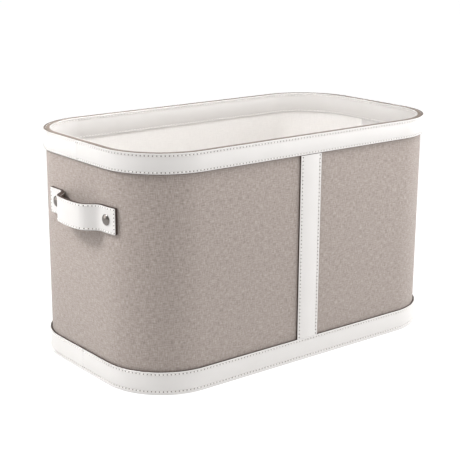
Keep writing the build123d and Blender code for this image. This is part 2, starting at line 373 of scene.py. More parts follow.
# %% Guide lines
def guide_line(start, heading, steps):
    """A guide seen from above. A step is a straight length, or a (radius, degrees) turn, where
    positive degrees turn left."""
    place = Vector(start)
    angle = radians(heading)
    knots = [[place.copy(), angle, 0, 0]]
    length = 0
    for step in steps:
        if isinstance(step, tuple):
            radius, turn = step[0], radians(step[1])
            side = 1 if turn > 0 else -1
            reach = 4 / 3 * tan(abs(turn) / 4) * radius
            centre = place + side * radius * Vector((-sin(angle), cos(angle)))
            angle += turn
            place = centre - side * radius * Vector((-sin(angle), cos(angle)))
            length += radius * abs(turn)
        else:
            reach = step / 3
            place = place + step * Vector((cos(angle), sin(angle)))
            length += step
        knots[-1][3] = reach
        knots.append([place.copy(), angle, reach, 0])
    pick()
    bpy.ops.curve.primitive_bezier_curve_add(location=(0, 0, 0))
    guide = bpy.context.object
    guide.data.resolution_u = 32
    points = guide.data.splines[0].bezier_points
    points.add(len(knots) - 2)
    for point, (place, angle, before, after) in zip(points, knots):
        ahead = Vector((cos(angle), sin(angle), 0))
        point.handle_left_type = "FREE"
        point.handle_right_type = "FREE"
        point.co = place.to_3d()
        point.handle_left = point.co - before * ahead
        point.handle_right = point.co + after * ahead
    return guide, length


def round_the_bin(inset, start, turns=4, clockwise=False):
    """A guide round the bin at an inset from the bands' face. It starts at the middle of the
    side that faces start ("+x", "-x", "+y" or "-y") and passes this many corners."""
    axis = "xy".index(start[1])
    sign = 1 if start[0] == "+" else -1
    reaches = [half_length - inset, half_width - inset]
    radius = corner_radius - inset
    corner = (radius, -90 if clockwise else 90)
    begin = [0, 0]
    begin[axis] = sign * reaches[axis]
    outward = {"+x": 0, "+y": 90, "-x": 180, "-y": 270}[start]
    heading = outward + (-90 if clockwise else 90)
    steps = []
    side = 1 - axis
    for number in range(turns):
        run = reaches[side] - radius
        steps.append(run if number == 0 else 2 * run)
        steps.append(corner)
        side = 1 - side
    steps.append(reaches[side] - radius)
    return guide_line(begin, heading, steps)


def wrap(piece, guide):
    """Bends a flat piece along a guide."""
    shape_with(piece, "CURVE", object=guide, deform_axis="POS_X")


# %% [markdown]
# ## A sewn leather strip
# On the real bin every band is a strip with both long edges rounded over, creased by a shallow
# groove and sewn through it, 2.4 to 3.8 mm in from the edge. All of this repeats with each
# stitch, so one stitch's length of strip is modelled: a block, its long edges bevelled, its
# groove pressed in and a pit sunk where the needle went through. An Array repeats it and merges
# the joints. The pits are drawn 1.4 mm wide so that they show.

# %% Cut a block into rows and columns
def apply_place():
    """Moves the active piece's place, turn and size into its mesh."""
    bpy.ops.object.transform_apply(location=True, rotation=True, scale=True)


def cut_across(piece, axis, places):
    """Cuts the mesh right through, across one axis, at each place along it."""
    normal = [0, 0, 0]
    normal[axis] = 1
    bpy.ops.object.mode_set(mode="EDIT")
    for place in places:
        point = [0, 0, 0]
        point[axis] = place
        bpy.ops.mesh.select_all(action="SELECT")
        bpy.ops.mesh.bisect(plane_co=point, plane_no=normal)
    leave_edit()


def block(name, low, high):
    """A cube primitive that fills the space between two corners, its place in its mesh."""
    pick()
    size = Vector(high) - Vector(low)
    middle = (Vector(high) + Vector(low)) / 2
    bpy.ops.mesh.primitive_cube_add(size=1, location=middle)
    made = bpy.context.object
    made.name = name
    made.scale = size
    apply_place()
    return made


# %% Round the long edges, press the grooves, sink the pits
GROOVE_HALF = 1.0 * MM
GROOVE_DEPTH = 0.12 * MM
PIT_HALF_WIDTH = 0.7 * MM
PIT_HALF_HEIGHT = 0.65 * MM
PIT_INSET = 0.28 * MM
PIT_DEPTH = 0.55 * MM
EDGE_ROUND = 0.7 * MM
BACK_ROUND = 0.3 * MM
TINY = 0.02 * MM
WELD = 0.005 * MM


def round_edges(piece, size, wanted, segments=3):
    """Bevels the edges for which wanted(middle, direction) is true."""
    corners = piece.data.vertices

    def chosen(middle, edge):
        direction = (corners[edge.vertices[1]].co - corners[edge.vertices[0]].co).normalized()
        return wanted(middle, direction)

    pick_parts(piece, "edges", chosen)
    bpy.ops.mesh.bevel(offset=size, segments=segments, affect="EDGES")
    leave_edit()


def press_grooves(piece, rows):
    """Pushes the strip's shown face in along each sewn row."""
    for row in rows:
        pick_parts(
            piece, "polygons", lambda m, p: abs(m.z - row) < PIT_HALF_HEIGHT and p.normal.y < -0.9
        )
        bpy.ops.transform.translate(value=(0, GROOVE_DEPTH, 0))
        leave_edit()


def sink_pits(piece, centres, inset=PIT_INSET, depth=PIT_DEPTH, side=-1):
    """Sinks a needle pit into each face whose middle is at one of the (x, z) centres. The shown
    face looks to -Y, or to +Y where side is 1."""
    def at_centre(m, p):
        near = any(abs(m.x - x) < TINY and abs(m.z - z) < TINY for x, z in centres)
        return near and p.normal.y * side > 0.9

    count = pick_parts(piece, "polygons", at_centre)
    bpy.ops.mesh.inset(thickness=inset, depth=-depth, use_individual=True)
    leave_edit()
    return count


# %% Give the strip's faces their finishes
def give_finishes(piece, *materials):
    """Leaves a piece with these materials and no others."""
    piece.data.materials.clear()
    for material in materials:
        piece.data.materials.append(material)


def finish_strip(piece, paints, rows, face_depth, bottom, shade_lap, pit):
    """Leather all over, edge paint on the cut edges, the lower edge's paint carried up its round as
    painted shade under the band where asked, and the pit finish, core colour with painted shade, in
    the pits."""
    give_finishes(piece, leather, *paints, pit)
    for face in piece.data.polygons:
        in_row = any(abs(face.center.z - row) < PIT_HALF_HEIGHT * 1.01 for row in rows)
        if abs(face.normal.x) > 0.9:
            continue
        if face.normal.z > 0.92:
            face.material_index = 1
        # The lower edge's paint, and faces just above it on the round: edge paint standing in as
        # painted shade under the band.
        elif face.normal.z < -0.92 or face.center.z < bottom + shade_lap:
            face.material_index = 2
        # Pit faces: the core colour with painted shade.
        elif in_row and face.center.y > face_depth and face.normal.y < 0:
            face.material_index = 3


# %% [markdown]
# The strip function puts these together for a strip of any length. The stitch length is fitted
# so that a whole number of stitches fills the strip, as a maker would space them.

# %% A flat sewn strip
STITCH = 4.2 * MM


def repeat(piece, count, step, **merging):
    """Copies a piece in a row, the copies joined into it."""
    row = {"use_relative_offset": False, "use_constant_offset": True}
    shape_with(piece, "ARRAY", count=count, constant_offset_displace=step, **row, **merging)


def sewn_strip(
    name, start, length, bottom, top, thickness, margins, paints, shade_lap=0, pit=core_and_pit_shade
):
    """A flat strip along X with its shown face at y = 0, sewn along both long edges."""
    stitches = round(length / STITCH)
    pitch = length / stitches
    rows = (bottom + margins[0], top - margins[1])
    unit = block(name, (start, 0, bottom), (start + pitch, thickness, top))
    round_edges(unit, EDGE_ROUND, lambda m, d: abs(d.x) > 0.9 and m.y < TINY)
    round_edges(unit, BACK_ROUND, lambda m, d: abs(d.x) > 0.9 and m.y > thickness - TINY, 2)
    pick_parts(unit, "polygons", lambda m, p: abs(p.normal.x) > 0.9)
    bpy.ops.mesh.delete(type="ONLY_FACE")
    leave_edit()
    levels = []
    for row in rows:
        for step in (-GROOVE_HALF, -PIT_HALF_HEIGHT, PIT_HALF_HEIGHT, GROOVE_HALF):
            levels.append(row + step)
    middle = start + pitch / 2
    cut_across(unit, 2, levels)
    cut_across(unit, 0, (middle - PIT_HALF_WIDTH, middle + PIT_HALF_WIDTH))
    press_grooves(unit, rows)
    sink_pits(unit, [(middle, row) for row in rows])
    finish_strip(unit, paints, rows, GROOVE_DEPTH + TINY, bottom, shade_lap, pit)
    repeat(unit, stitches, (pitch, 0, 0), use_merge_vertices=True, merge_threshold=WELD)
    pick(unit)
    bpy.ops.object.mode_set(mode="EDIT")
    bpy.ops.mesh.select_mode(type="VERT")
    bpy.ops.mesh.select_all(action="DESELECT")
    bpy.ops.mesh.select_non_manifold()
    bpy.ops.mesh.fill_holes(sides=0)
    leave_edit()
    print(name, "-", stitches, "stitches of", round(pitch / MM, 2), "mm")
    return unit, pitch, stitches, rows


# %% [markdown]
# ## Stitches
# A lockstitch shows one short length of thread between each two needle pits: it rises from a
# pit, lies in the groove and dives into the next. One stitch is modelled from a six-sided ring,
# extruded and scaled along its length, then copied along the row.

# %% One stitch, and a row of them
STITCH_SIDES = 6
STITCH_PROFILE = (
    # place along the stitch's length, depth below the face (above it where negative) and
    # radius, in mm
    (0.45, 0.50, 0.28),
    (0.62, 0.12, 0.38),
    (1.1, -0.08, 0.42),
)


def face_outwards():
    """Turns the faces of the mesh in edit mode outwards, and leaves edit mode."""
    bpy.ops.mesh.select_all(action="SELECT")
    bpy.ops.mesh.normals_make_consistent(inside=False)
    leave_edit()


def one_stitch(name, pitch, x, z):
    """A stitch from the pit at x to the pit one pitch further on, at height z."""
    near = [(x + a * MM, b * MM, r * MM) for a, b, r in STITCH_PROFILE]
    far = [(2 * x + pitch - a, b, r) for a, b, r in near[::-1]]
    rings = near + far
    along, depth, radius = rings[0]
    pick()
    bpy.ops.mesh.primitive_circle_add(
        vertices=STITCH_SIDES, radius=radius, location=(along, depth, z)
    )
    stitch = bpy.context.object
    stitch.name = name
    stitch.rotation_euler = (0, pi / 2, 0)
    apply_place()
    edit_all()
    bpy.ops.mesh.edge_face_add()
    for before, after in zip(rings, rings[1:]):
        step = (after[0] - before[0], after[1] - before[1], 0)
        bpy.ops.mesh.extrude_region_move(TRANSFORM_OT_translate={"value": step})
        size = after[2] / before[2]
        bpy.ops.transform.resize(value=(size, size, size))
    face_outwards()
    return stitch


def join(pieces):
    """Joins pieces into the last one."""
    pick(*pieces)
    bpy.ops.object.join()
    return bpy.context.object


def stitch_rows(name, start, pitch, stitches, rows):
    """The thread of a sewn strip: a row of stitches in each groove."""
    made = []
    for number, row in enumerate(rows):
        stitch = one_stitch(f"{name}_{number}", pitch, start + pitch / 2, row)
        repeat(stitch, stitches - 1, (pitch, 0, 0))
        made.append(stitch)
    sewn = join(made)
    sewn.name = name
    give_finishes(sewn, thread)
    return sewn


# %% Put a finished piece on the bin
THREAD_SMOOTHING = 80


def place_on_bin(piece, slot, *nodes, angle=35):
    """Smooths a piece, hides the CAD nodes it stands for, and fixes it to the bin. The slot is not
    used.
    """
    pick(piece)
    bpy.ops.object.shade_smooth_by_angle(angle=radians(angle))
    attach(piece, "root")
    if nodes:
        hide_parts(*nodes)
    piece.data.update()
    print(piece.name, "has", len(piece.data.polygons), "faces")


# %% [markdown]
# ## The three bands
# The rim band and the foot band close at the middle of the left end, the inner band at the
# middle of the right end, each with a butt seam that is open by 0.1 mm.

# %% Rim band, foot band and inner band
def leather_band(
    name, node, start, inset, clockwise, thickness, margins, paints, shade_lap=0, pit=core_and_pit_shade
):
    """Makes one band flat, wraps it round the bin, and sews it."""
    low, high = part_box(node)
    guide, length = round_the_bin(inset, start, clockwise=clockwise)
    gap = seam_gap / 2
    strip, pitch, stitches, rows = sewn_strip(
        name, gap, length - seam_gap, low[2], high[2], thickness, margins, paints, shade_lap, pit
    )
    sewing = stitch_rows(name + "_stitches", gap, pitch, stitches, rows)
    wrap(strip, guide)
    wrap(sewing, guide)
    bpy.data.objects.remove(guide)
    place_on_bin(strip, "leather", node)
    place_on_bin(sewing, "leather", angle=THREAD_SMOOTHING)


# The rim band's lower round takes 0.6 mm of brown edge paint: partly paint carried over the round,
# partly painted shade for the shadow line under the band.
leather_band(
    "rim_leather", "rim_band_outer", "-x", 0, False, band_thickness,
    margins=(2.4 * MM, 2.6 * MM), paints=(taupe_paint, brown_paint), shade_lap=0.6 * MM,
)
leather_band(
    "foot_leather", "base_band", "-x", 0, False, band_thickness,
    margins=(3.8 * MM, 2.6 * MM), paints=(brown_paint, brown_paint),
)
leather_band(
    "inner_leather", "rim_band_inner", "+x", inside_inset, True, inner_band_thickness,
    margins=(2.4 * MM, 2.6 * MM), paints=(leather, leather), pit=leather,
)

# %% [markdown]
# ## Straps over the cloth's seams
# The front and back straps cover the joints of the linen between the two bands. The inner
# straps do the same for the lining at the short ends. They are the same sewn strip, cut short
# and stood upright.

# %% Upright straps
def upright_strap(name, node, facing, thickness, margin, pit):
    """A sewn strip stood on end, its shown face turned to face this many degrees from -Y."""
    low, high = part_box(node)
    turned = facing % 180 == 90
    width = high[1] - low[1] if turned else high[0] - low[0]
    strip, pitch, stitches, rows = sewn_strip(
        name, 0, high[2] - low[2], -width / 2, width / 2, thickness,
        margins=(margin, margin), paints=(brown_paint, brown_paint), pit=pit,
    )
    sewing = stitch_rows(name + "_stitches", pitch, pitch, stitches - 2, rows)
    outward = Vector((sin(radians(facing)), -cos(radians(facing)), 0))
    middle = (low + high) / 2
    face = middle + outward * thickness / 2
    stand = Matrix.Translation((face.x, face.y, low[2]))
    stand = stand @ Matrix.Rotation(radians(facing), 4, "Z") @ Matrix.Rotation(-pi / 2, 4, "Y")
    for piece in (strip, sewing):
        pick(piece)
        piece.matrix_world = stand
        apply_place()
    place_on_bin(strip, "leather", node)
    place_on_bin(sewing, "leather", angle=THREAD_SMOOTHING)


upright_strap("front_strap_leather", "strap_front", 0, band_thickness, 2.6 * MM, core_and_pit_shade)
upright_strap("back_strap_leather", "strap_back", 180, band_thickness, 2.6 * MM, core_and_pit_shade)
for side, facing in (("left", 90), ("right", -90)):
    name, node = f"{side}_inner_strap_leather", f"inner_strap_{side}"
    upright_strap(name, node, facing, inner_band_thickness, 2.4 * MM, leather)

# %% [markdown]
# ## Linen cover
# Each half of the cover is one sheet. It is turned under the board's foot, rises up the wall,
# turns over the rim and ends as a 12 mm hem inside. It is made as a narrow flat column: a plane
# whose top edge is extruded over the rim and down, and whose bottom edge is extruded under the
# foot. The folds are bevelled, the column is repeated, and the whole strip gets its thickness.
# Its flat map is written while it is still flat. The fold between the two leather bands is
# brushed with the same kind of edge paint as the rim band, so the cloth does not fray there.

# %% Cloth helpers
CLOTH_COLUMN = 4 * MM


def flat_map(piece, measure):
    """Writes the one UV map, "flat": metres along the cloth, and metres up the unfolded cloth."""
    layers = piece.data.uv_layers
    while layers:
        layers.remove(layers[0])
    layer = layers.new(name="flat")
    for loop in piece.data.loops:
        layer.data[loop.index].uv = measure(piece.data.vertices[loop.vertex_index].co)


def cloth_column(name, start, width, bottom, top):
    """A narrow upright plane that faces -Y, the first column of a cloth strip."""
    pick()
    bpy.ops.mesh.primitive_plane_add(size=1, location=(start + width / 2, 0, (bottom + top) / 2))
    column = bpy.context.object
    column.name = name
    column.rotation_euler = (pi / 2, 0, 0)
    column.scale = (width, top - bottom, 1)
    apply_place()
    return column


def extrude_edge(piece, at, step):
    """Extrudes the level edge whose middle is at this depth and height (y, z) by a step."""
    pick_parts(
        piece, "edges", lambda m, e: abs(m.y - at[0]) < TINY and abs(m.z - at[1]) < TINY
    )
    bpy.ops.mesh.extrude_region_move(TRANSFORM_OT_translate={"value": step})
    leave_edit()


def cloth_panel(name, inset, start, clockwise, bottom, top, fold, measure, *materials):
    """A cloth strip wrapped round two corners. fold(panel) shapes its first column, and
    measure(point) gives a point's place on the flat cloth."""
    guide, length = round_the_bin(inset, start, turns=2, clockwise=clockwise)
    columns = round((length - seam_gap) / CLOTH_COLUMN)
    width = (length - seam_gap) / columns
    panel = cloth_column(name, seam_gap / 2, width, bottom, top)
    fold(panel)
    repeat(panel, columns, (width, 0, 0))
    pick(panel)
    edit_all()
    bpy.ops.mesh.remove_doubles(threshold=WELD)
    leave_edit()
    flat_map(panel, measure)
    shape_with(panel, "SOLIDIFY", thickness=cloth_thickness, offset=-1)
    wrap(panel, guide)
    bpy.data.objects.remove(guide)
    give_finishes(panel, *materials)
    return panel, length


# %% Linen panels
hem_depth = 12 * MM
fold_depth = inner_band_inset - linen_inset
fold_round = 0.9 * MM
foot_turn = 3.8 * MM
linen_foot = linen_low[2]


def unfolded(point):
    """How far up the unfolded linen a point of the folded one lies."""
    over = min(max(point.y, 0), fold_depth)
    if point.y < TINY:
        return (point.x, point.z)
    if point.z < linen_foot + 2 * MM:
        return (point.x, linen_foot - point.y)
    return (point.x, rim_top + over + (rim_top - point.z))


def is_fold(middle, direction):
    """True for the level edges at the foot's fold and at the rim's two folds."""
    at_foot = middle.y < TINY and abs(middle.z - linen_foot) < TINY
    at_rim = abs(middle.z - rim_top) < TINY
    return abs(direction.x) > 0.9 and (at_foot or at_rim)


def fold_linen(panel):
    """Takes the first column over the rim, down inside as a hem, and under the foot."""
    extrude_edge(panel, (0, rim_top), (0, fold_depth, 0))
    extrude_edge(panel, (fold_depth, rim_top), (0, 0, -hem_depth))
    extrude_edge(panel, (0, linen_foot), (0, foot_turn, 0))
    round_edges(panel, fold_round, is_fold)


def linen_panel(name, node, start):
    """One half of the linen cover, wrapped round one end of the bin."""
    panel, length = cloth_panel(
        name, linen_inset, start, False, linen_foot, rim_top, fold_linen, unfolded, linen, fold_paint
    )
    # The rim's fold, between the two leather bands, is painted.
    for face in panel.data.polygons:
        if face.center.z > rim_top - 0.5 * MM and face.normal.z > 0.3:
            face.material_index = 1
    place_on_bin(panel, "linen", node)


linen_panel("left_linen_panel", "linen_left", "+y")
linen_panel("right_linen_panel", "linen_right", "-y")

# %% [markdown]
# ## Lining
# The lining is thinner cotton, glued to the board inside from the hem down to the base board.
# Its halves meet under the inner straps. Its shown face looks inwards, so its guide goes round
# clockwise.

# %% Lining panels
def lining_panel(name, node, start):
    """One half of the lining, wrapped inside one long wall and half of each end."""
    low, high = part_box(node)
    panel, length = cloth_panel(
        name, inner_band_inset, start, True, low[2], high[2],
        lambda panel: None, lambda point: (point.x, point.z), lining,
    )
    place_on_bin(panel, "lining", node)
    print(name, "was cut", round(length / MM), "by", round((high[2] - low[2]) / MM), "mm")


lining_panel("front_lining_panel", "lining_front", "+x")
lining_panel("back_lining_panel", "lining_back", "-x")

# %% [markdown]
# ## Handles
# A handle is a strap of two leathers over a filler, riveted flat to the wall at both ends and
# bowed out between for the fingers. It is sewn all round, 2 mm in from its edge, and its edge is
# painted dark brown. Each layer is made flat and bent along one guide: along the wall, out over
# the foot's bend, up a ramp, and over a shoulder into the gentle crown. One end's list of steps,
# read backwards, is the other end's, because both handles sit the same distance towards the
# front.

# %% Handle guide
handle_low, handle_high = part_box("handle_right_face")
WALL_RADIUS = 70.5 * MM
FRONT_TURN = 14.7925
BACK_TURN = 5.2085
FOOT_BEND = (15 * MM, -50)
RAMP = 8.1998 * MM
SHOULDER = (12 * MM, 40)
HALF_CROWN = (109.0126 * MM, 10)
HANDLE_STEPS = [
    # front end: along the wall's round corner, and then its flat
    (WALL_RADIUS, FRONT_TURN),
    1.9 * MM,
    # the bow
    FOOT_BEND,
    RAMP,
    SHOULDER,
    HALF_CROWN,
    HALF_CROWN,
    SHOULDER,
    RAMP,
    FOOT_BEND,
    # back end: along the wall's flat, and then its round corner
    13.5 * MM,
    (WALL_RADIUS, BACK_TURN),
]
HANDLE_STARTS = {
    "right": ((215.1634 * MM, -68.5 * MM), 90 - FRONT_TURN, HANDLE_STEPS),
    "left": ((-217.2089 * MM, 56.9 * MM), 270 - BACK_TURN, HANDLE_STEPS[::-1]),
}
HANDLE_LEATHER = 1.3 * MM
HANDLE_FILLER = 1.0 * MM
HANDLE_MARGIN = 2.0 * MM
handle_thickness = 2 * HANDLE_LEATHER + HANDLE_FILLER
handle_bottom = handle_low[2]
handle_top = handle_high[2]
print("handle is", round((handle_top - handle_bottom) / MM, 1), "mm high")

# %% Handle layers
HANDLE_CORNER = 1.2 * MM
HANDLE_EDGE_ROUND = 0.5 * MM
HANDLE_PIT_HALF = 0.6 * MM
HANDLE_PIT_INSET = 0.22 * MM
HANDLE_PIT_DEPTH = 0.45 * MM
PAINT_WIDTH = 1.2 * MM
# A face this far below the shown one belongs to a pit.
PIT_FACES_FROM = 0.05 * MM
PIT_FACES_TO = 0.6 * MM


def handle_blank(name, length, inner, outer):
    """A handle layer cut flat, with small round corners."""
    blank = block(name, (0, -outer, handle_bottom), (length, -inner, handle_top))
    round_edges(blank, HANDLE_CORNER, lambda m, d: abs(d.y) > 0.9)
    return blank


def finish_handle_face(blank, length, face_y, side):
    """Paint on the edges, and in the pits the core colour with painted shade."""
    give_finishes(blank, leather if side == -1 else brown_leather, brown_paint, core_and_pit_shade)
    for face in blank.data.polygons:
        depth = (face_y - face.center.y) * side
        from_ends = min(face.center.x, length - face.center.x)
        from_edges = min(face.center.z - handle_bottom, handle_top - face.center.z)
        if min(from_ends, from_edges) > PAINT_WIDTH:
            if PIT_FACES_FROM < depth < PIT_FACES_TO:
                face.material_index = 2
        elif abs(face.normal.y) < 0.85:
            face.material_index = 1


def handle_face(name, length, outer, shown_out):
    """A sewn leather layer, in short columns that bend well. Its shown face lies outwards, or
    towards the wall."""
    inner = outer - HANDLE_LEATHER
    blank = handle_blank(name, length, inner, outer)
    face_y = -outer if shown_out else -inner
    side = -1 if shown_out else 1
    round_edges(
        blank, HANDLE_EDGE_ROUND, lambda m, d: abs(d.y) < 0.5 and abs(m.y - face_y) < TINY
    )
    sewn_length = length - 2 * HANDLE_MARGIN
    sewn_height = handle_top - handle_bottom - 2 * HANDLE_MARGIN
    along = round(sewn_length / STITCH)
    pitch = sewn_length / along
    up = round(sewn_height / STITCH)
    rise = sewn_height / up
    columns = [HANDLE_MARGIN + pitch * number for number in range(along + 1)]
    levels = [handle_bottom + HANDLE_MARGIN + rise * number for number in range(up + 1)]
    steps = (-HANDLE_PIT_HALF, HANDLE_PIT_HALF)
    cut_across(blank, 0, [x + step for x in columns for step in steps])
    cut_across(blank, 2, [z + step for z in levels for step in steps])
    centres = [(x, z) for x in columns for z in (levels[0], levels[-1])]
    centres += [(x, z) for x in (columns[0], columns[-1]) for z in levels[1:-1]]
    pits = sink_pits(blank, centres, HANDLE_PIT_INSET, HANDLE_PIT_DEPTH, side)
    finish_handle_face(blank, length, face_y, side)
    print(name, "-", pits, "needle pits")
    return blank, columns, levels, pitch, rise


# %% Handle stitches
def handle_stitches(name, columns, levels, pitch, rise, face_y, flip):
    """Stitches along the handle's long edges and up its short ends."""
    made = []
    for number, level in enumerate((levels[0], levels[-1])):
        stitch = one_stitch(f"{name}_long_{number}", pitch, columns[0], level)
        repeat(stitch, len(columns) - 1, (pitch, 0, 0))
        made.append(stitch)
    for number, column in enumerate((columns[0], columns[-1])):
        stitch = one_stitch(f"{name}_short_{number}", rise, 0, 0)
        repeat(stitch, len(levels) - 1, (rise, 0, 0))
        pick(stitch)
        upright = Matrix.Rotation(-pi / 2, 4, "Y")
        stitch.matrix_world = Matrix.Translation((column, 0, levels[0])) @ upright
        apply_place()
        made.append(stitch)
    sewn = join(made)
    sewn.name = name
    sewn.location = (0, face_y, 0)
    if flip:
        sewn.scale = (1, -1, 1)
    apply_place()
    bpy.ops.object.mode_set(mode="EDIT")
    face_outwards()
    give_finishes(sewn, thread)
    return sewn


# %% [markdown]
# The filler is bonded leather. Only its edge shows, as the dark middle line of the painted edge.

# %% Bonded filler
filler = edge_paint("bonded_leather_filler", "#2A1D18", "#3B2B25", 0.6)
FILLER_COLUMNS = 60


def make_handle(side):
    """All layers of one handle, bent along its guide."""
    start, heading, steps = HANDLE_STARTS[side]
    guide, length = guide_line(start, heading, steps)
    face, columns, levels, pitch, rise = handle_face(
        f"{side}_handle_face_leather", length, handle_thickness, True
    )
    backing, *_ = handle_face(f"{side}_handle_backing_leather", length, HANDLE_LEATHER, False)
    core = handle_blank(
        f"{side}_handle_filler", length, HANDLE_LEATHER, HANDLE_LEATHER + HANDLE_FILLER
    )
    cuts = range(1, FILLER_COLUMNS)
    cut_across(core, 0, [length * number / FILLER_COLUMNS for number in cuts])
    core.data.materials.append(filler)
    front = handle_stitches(
        f"{side}_handle_face_stitches", columns, levels, pitch, rise, -handle_thickness, False
    )
    rear = handle_stitches(
        f"{side}_handle_backing_stitches", columns, levels, pitch, rise, 0, True
    )
    for piece in (face, backing, core, front, rear):
        wrap(piece, guide)
    bpy.data.objects.remove(guide)
    place_on_bin(face, "leather", f"handle_{side}_face")
    place_on_bin(backing, "leather", f"handle_{side}_backing")
    place_on_bin(core, "filler", f"handle_{side}_filler")
    place_on_bin(front, "leather", angle=THREAD_SMOOTHING)
    place_on_bin(rear, "leather", angle=THREAD_SMOOTHING)


make_handle("left")
make_handle("right")

# %% [markdown]
# ## Rivets
# The handles are held by double-cap rivets in polished dark nickel: a low dome with a rolled rim
# outside, a flat cap inside, and a post between them. Polish gives near-black and bright
# reflections with sharp borders. One rivet is turned from a circle: extruded, scaled in ring by
# ring, and closed at the top.

# %% Dark nickel
nickel = mottled(
    "polished_dark_nickel", "#6F6965", "#86807B", 0.8 * MM, 6.0, (0.08, 0.2), (0.05, 0.02 * MM),
    Metallic=1.0,
)

# %% Turn the rivet's parts
CAP_RADIUS = 6 * MM
CAP_EDGE = 0.8 * MM
CAP_CROWN = 1.7 * MM
POST_RADIUS = 2 * MM
BACK_RADIUS = 5 * MM
BACK_THICKNESS = 1 * MM
WALL = 4.6 * MM
BORE_DEPTH = 0.6 * MM


def turned(name, profile, sides=32):
    """A round solid about Z from a list of (radius, height) rings, closed at both ends."""
    pick()
    bpy.ops.mesh.primitive_circle_add(
        vertices=sides, radius=profile[0][0], location=(0, 0, profile[0][1]), fill_type="NGON"
    )
    made = bpy.context.object
    made.name = name
    apply_place()
    edit_all()
    for before, after in zip(profile, profile[1:]):
        rise = after[1] - before[1]
        bpy.ops.mesh.extrude_region_move(TRANSFORM_OT_translate={"value": (0, 0, rise)})
        size = after[0] / before[0]
        bpy.ops.transform.resize(value=(size, size, 1))
    face_outwards()
    made.data.materials.append(nickel)
    return made


dome_radius = (CAP_RADIUS**2 + CAP_CROWN**2) / (2 * CAP_CROWN)
cap_profile = [
    (POST_RADIUS, -(handle_thickness + WALL + BORE_DEPTH)),
    (POST_RADIUS, 0),
    (CAP_RADIUS - 0.2 * MM, 0),
    (CAP_RADIUS, 0.2 * MM),
    (CAP_RADIUS, CAP_EDGE - 0.15 * MM),
    (CAP_RADIUS - 0.12 * MM, CAP_EDGE),
]
for fraction in (0.88, 0.74, 0.58, 0.42, 0.26, 0.12, 0.03):
    radius = fraction * CAP_RADIUS
    sag = dome_radius - (dome_radius**2 - radius**2) ** 0.5
    cap_profile.append((radius, CAP_EDGE + CAP_CROWN - sag))
back_profile = [
    (POST_RADIUS + 0.2 * MM, 0),
    (BACK_RADIUS - 0.15 * MM, 0),
    (BACK_RADIUS, -0.15 * MM),
    (BACK_RADIUS, -0.6 * MM),
    (BACK_RADIUS - 0.4 * MM, -BACK_THICKNESS),
    (0.1 * MM, -BACK_THICKNESS),
]

# %% Set each rivet across the wall
RIVET_PLACES = {"front": -55.3 * MM, "back": 43.7 * MM}
flat_half = half_width - corner_radius
linen_radius = corner_radius - linen_inset
lining_radius = corner_radius - inner_band_inset


def set_rivet(side, place, y):
    """Turns a cap and a back, and sets them on their axis at one rivet's place."""
    sign = 1 if side == "right" else -1
    past = max(abs(y) - flat_half, 0)
    lean = asin(past / linen_radius) * (1 if y > 0 else -1)
    outward = Vector((cos(lean), sin(lean), 0))
    centre_y = max(min(y, flat_half), -flat_half)
    centre = Vector((half_length - linen_inset - linen_radius, centre_y, 0))
    on_linen = centre + outward * linen_radius
    on_curve = min(max(abs(y) + BACK_RADIUS - flat_half, 0), BACK_RADIUS)
    hollow = lining_radius - (lining_radius**2 - on_curve**2) ** 0.5
    middle = (handle_bottom + handle_top) / 2
    for name, profile, distance in (
        ("cap", cap_profile, handle_thickness),
        ("back", back_profile, -WALL - hollow),
    ):
        spot = on_linen + outward * distance
        piece = turned(f"{side}_{place}_rivet_{name}", profile)
        pick(piece)
        direction = Vector((sign * outward.x, outward.y, 0))
        piece.rotation_mode = "QUATERNION"
        piece.rotation_quaternion = direction.to_track_quat("Z", "Y")
        piece.location = (sign * spot.x, spot.y, middle)
        apply_place()
        place_on_bin(piece, "rivet_metal", f"rivet_{side}_{place}_{name}", angle=30)


for side in ("left", "right"):
    for place, y in RIVET_PLACES.items():
        set_rivet(side, place, y)

# %% [markdown]
# ## Covered floor and felt underside
# The floor is a thin board wrapped in lining cloth, its margin glued under. The underside is a
# sheet of pressed felt inside the foot band. Both start from a plane whose corners are rounded
# by a vertex bevel.

# %% Rounded plates
CORNER_SEGMENTS = 24


def rounded_plate(name, inset, bottom, top):
    """A plate with the bin's rounded outline at an inset. It is left in edit mode, still open at
    its top, with its underside picked."""
    pick()
    bpy.ops.mesh.primitive_plane_add(size=1, location=(0, 0, top))
    plate = bpy.context.object
    plate.name = name
    plate.scale = (2 * (half_length - inset), 2 * (half_width - inset), 1)
    apply_place()
    bpy.ops.object.mode_set(mode="EDIT")
    bpy.ops.mesh.select_mode(type="VERT")
    bpy.ops.mesh.select_all(action="SELECT")
    bpy.ops.mesh.bevel(offset=corner_radius - inset, segments=CORNER_SEGMENTS, affect="VERTICES")
    bpy.ops.mesh.select_all(action="SELECT")
    bpy.ops.mesh.extrude_region_move(TRANSFORM_OT_translate={"value": (0, 0, bottom - top)})
    return plate


# %% Floor cover
floor_low, floor_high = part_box("floor_cover")
floor_inset = half_length - floor_high[0]
floor_cloth = 0.6 * MM
floor_turn_under = 20 * MM
floor_round = 0.5 * MM
cover = rounded_plate("floor_cover_cloth", floor_inset, floor_low[2], floor_high[2])
bpy.ops.mesh.inset(thickness=floor_turn_under, depth=0)
bpy.ops.mesh.delete(type="FACE")
face_outwards()
print("floor cover has", len(cover.data.polygons), "faces before rounding")

# %% Round the cover's edges and give the cloth its thickness
def is_rim(middle, direction):
    """True for the edges round the plate's outline, at its top and its bottom."""
    reach_x = half_length - floor_inset
    reach_y = half_width - floor_inset
    radius = corner_radius - floor_inset
    past_x = max(abs(middle.x) - reach_x + radius, 0)
    past_y = max(abs(middle.y) - reach_y + radius, 0)
    return abs(direction.z) < 0.1 and Vector((past_x, past_y)).length > radius - 0.5 * MM


